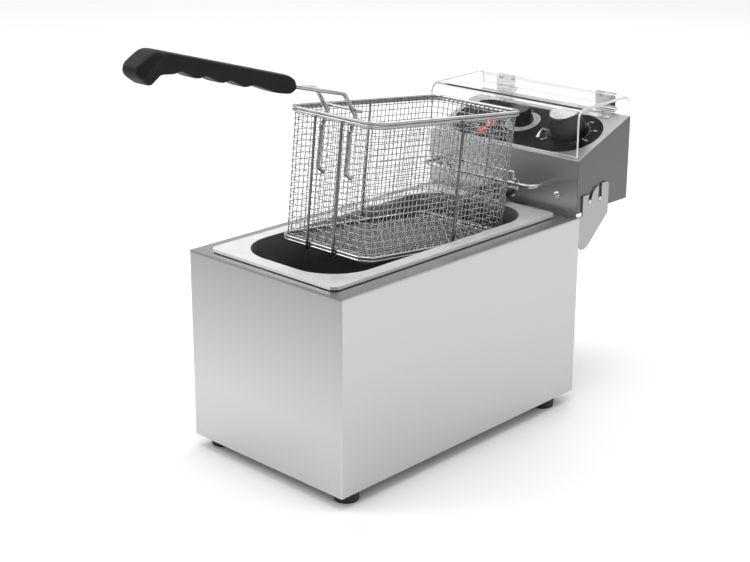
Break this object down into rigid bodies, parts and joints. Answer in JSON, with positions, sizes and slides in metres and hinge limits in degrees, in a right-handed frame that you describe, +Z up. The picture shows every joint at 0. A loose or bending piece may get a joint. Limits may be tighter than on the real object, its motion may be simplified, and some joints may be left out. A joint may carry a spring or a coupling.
{
  "type": "deep fryer",
  "caption": "Countertop electric fryer: steel housing, oil tank, tilting control head with heating element and clear cover, and a hung wire basket with a long grip.",
  "frame": {"origin": "on the surface the fryer stands on, under the middle of its width and within 3 mm of the middle of its overall length", "axes": "+Z up, +Y towards the control head at the rear, +X to the right seen from the handle end"},
  "size_m": [0.2004, 0.5646, 0.4161],
  "materials": {
    "brushed_steel": "brushed stainless sheet",
    "tank_steel": "drawn stainless, satin",
    "rubber": "matt black rubber",
    "fastener_steel": "plain bright steel",
    "chromed_wire": "bright plated wire",
    "black_plastic": "moulded heat-resistant plastic",
    "label_black": "gloss printed panel",
    "knob_cap": "spun aluminium insert",
    "dial_grey": "light grey printed disc",
    "lamp_amber": "translucent lens",
    "lamp_red": "translucent lens",
    "reset_red": "moulded button",
    "ceramic": "white ceramic block",
    "wire_cover": "glass-braid insulated leads",
    "element_steel": "stainless sheath, heat tinted",
    "clear_cover": "clear bent plastic sheet"
  },
  "bodies": {
    "base": {"housing_shell": "brushed_steel", "housing_rear_panel": "brushed_steel", "housing_base_plate": "brushed_steel", "foot_front_left": "rubber", "foot_front_right": "rubber", "foot_rear_left": "rubber", "foot_rear_right": "rubber", "foot_screws": "fastener_steel", "oil_tank": "tank_steel", "left_hook_plate": "brushed_steel", "right_hook_plate": "brushed_steel", "hook_plate_screws": "fastener_steel"},
    "head": {"head_shell": "brushed_steel", "head_bottom_plate": "brushed_steel", "tilt_pins": "fastener_steel", "support_pins": "fastener_steel", "control_label": "label_black", "thermostat_body": "black_plastic", "timer_body": "black_plastic", "timer_dial_plate": "dial_grey", "heating_lamp": "lamp_amber", "heating_lamp_bezel": "black_plastic", "power_lamp": "lamp_red", "power_lamp_bezel": "black_plastic", "terminal_block": "ceramic", "high_limit_cutout": "black_plastic", "reset_collar": "black_plastic", "cable_gland": "black_plastic", "internal_wiring": "wire_cover", "basket_hanger": "chromed_wire", "hanger_nuts": "fastener_steel", "face_screws": "fastener_steel", "heating_element": "element_steel", "element_flanges": "fastener_steel", "element_nuts": "fastener_steel", "element_strap": "brushed_steel", "thermostat_probe": "element_steel", "limiter_probe": "element_steel", "cover_hinge_bases": "fastener_steel", "cover_hinge_pins": "fastener_steel"},
    "thermostat_control": {"thermostat_knob": "black_plastic", "thermostat_knob_cap": "knob_cap"},
    "timer_control": {"timer_knob": "black_plastic"},
    "reset_plunger": {"reset_button": "reset_red"},
    "cover": {"splash_cover": "clear_cover", "cover_hinge_leaves": "fastener_steel", "cover_rivets": "fastener_steel"},
    "basket": {"basket_rim_wire": "chromed_wire", "basket_rim_lower_wire": "chromed_wire", "basket_floor_upper_wire": "chromed_wire", "basket_floor_wire": "chromed_wire", "basket_long_wires": "chromed_wire", "basket_cross_wire": "chromed_wire", "basket_mesh_wall": "chromed_wire", "basket_mesh_floor": "chromed_wire", "basket_hook": "chromed_wire", "handle_wires": "chromed_wire", "handle_brace": "chromed_wire", "handle_grip": "black_plastic"}
  },
  "joints": [
    {"name": "head_tilt", "type": "hinge", "parent": "base", "child": "head", "pos_m": [0, 0.2298, 0.212], "axis": [-1, 0, 0], "range_deg": [0, 80]},
    {"name": "cover_hinge", "type": "hinge", "parent": "head", "child": "cover", "pos_m": [0, 0.2825, 0.293], "axis": [-1, 0, 0], "range_deg": [0, 100]},
    {"name": "basket_lift", "type": "slide", "parent": "head", "child": "basket", "axis": [0, 0, 1], "range_m": [0, 0.2]},
    {"name": "thermostat_turn", "type": "hinge", "parent": "head", "child": "thermostat_control", "pos_m": [0.055, 0.23328, 0.27255], "axis": [0, 0.3499, -0.9368], "range_deg": [0, 270]},
    {"name": "timer_turn", "type": "hinge", "parent": "head", "child": "timer_control", "pos_m": [-0.006, 0.23609, 0.2736], "axis": [0, 0.3499, -0.9368], "range_deg": [0, 300]},
    {"name": "reset_press", "type": "slide", "parent": "head", "child": "reset_plunger", "axis": [0, -1, 0], "range_m": [0, 0.0025], "stiffness_N_per_m": 400}
  ]
}
